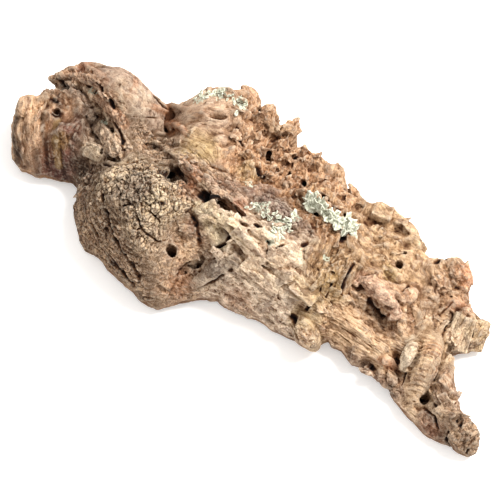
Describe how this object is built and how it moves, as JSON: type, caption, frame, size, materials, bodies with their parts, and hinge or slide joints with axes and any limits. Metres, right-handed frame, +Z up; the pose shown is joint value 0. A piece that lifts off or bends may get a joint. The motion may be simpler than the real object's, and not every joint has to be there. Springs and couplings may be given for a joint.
{
  "type": "cork bark slab",
  "caption": "Rugged slab of virgin cork oak bark with a domed burl, crumbled back edge and long toe, hollow side down, with leafy lichen patches.",
  "frame": {"origin": "middle of the slab's box in plan, on the plane that its three feet stand on", "axes": "+X along the slab from its curled butt to its long toe, +Y across it from the low front edge to the raised back edge, +Z up out of the bark's rugged outer face"},
  "size_m": [0.3008, 0.125, 0.0538],
  "materials": {
    "cork_bark": "dry, rough, cracked virgin cork, matt",
    "lichen": "dry, matt, pale grey-green"
  },
  "bodies": {
    "root": {"cork_bark": "cork_bark", "lichen_ledge": "lichen", "lichen_hump": "lichen", "lichen_back_edge": "lichen"}
  },
  "joints": []
}
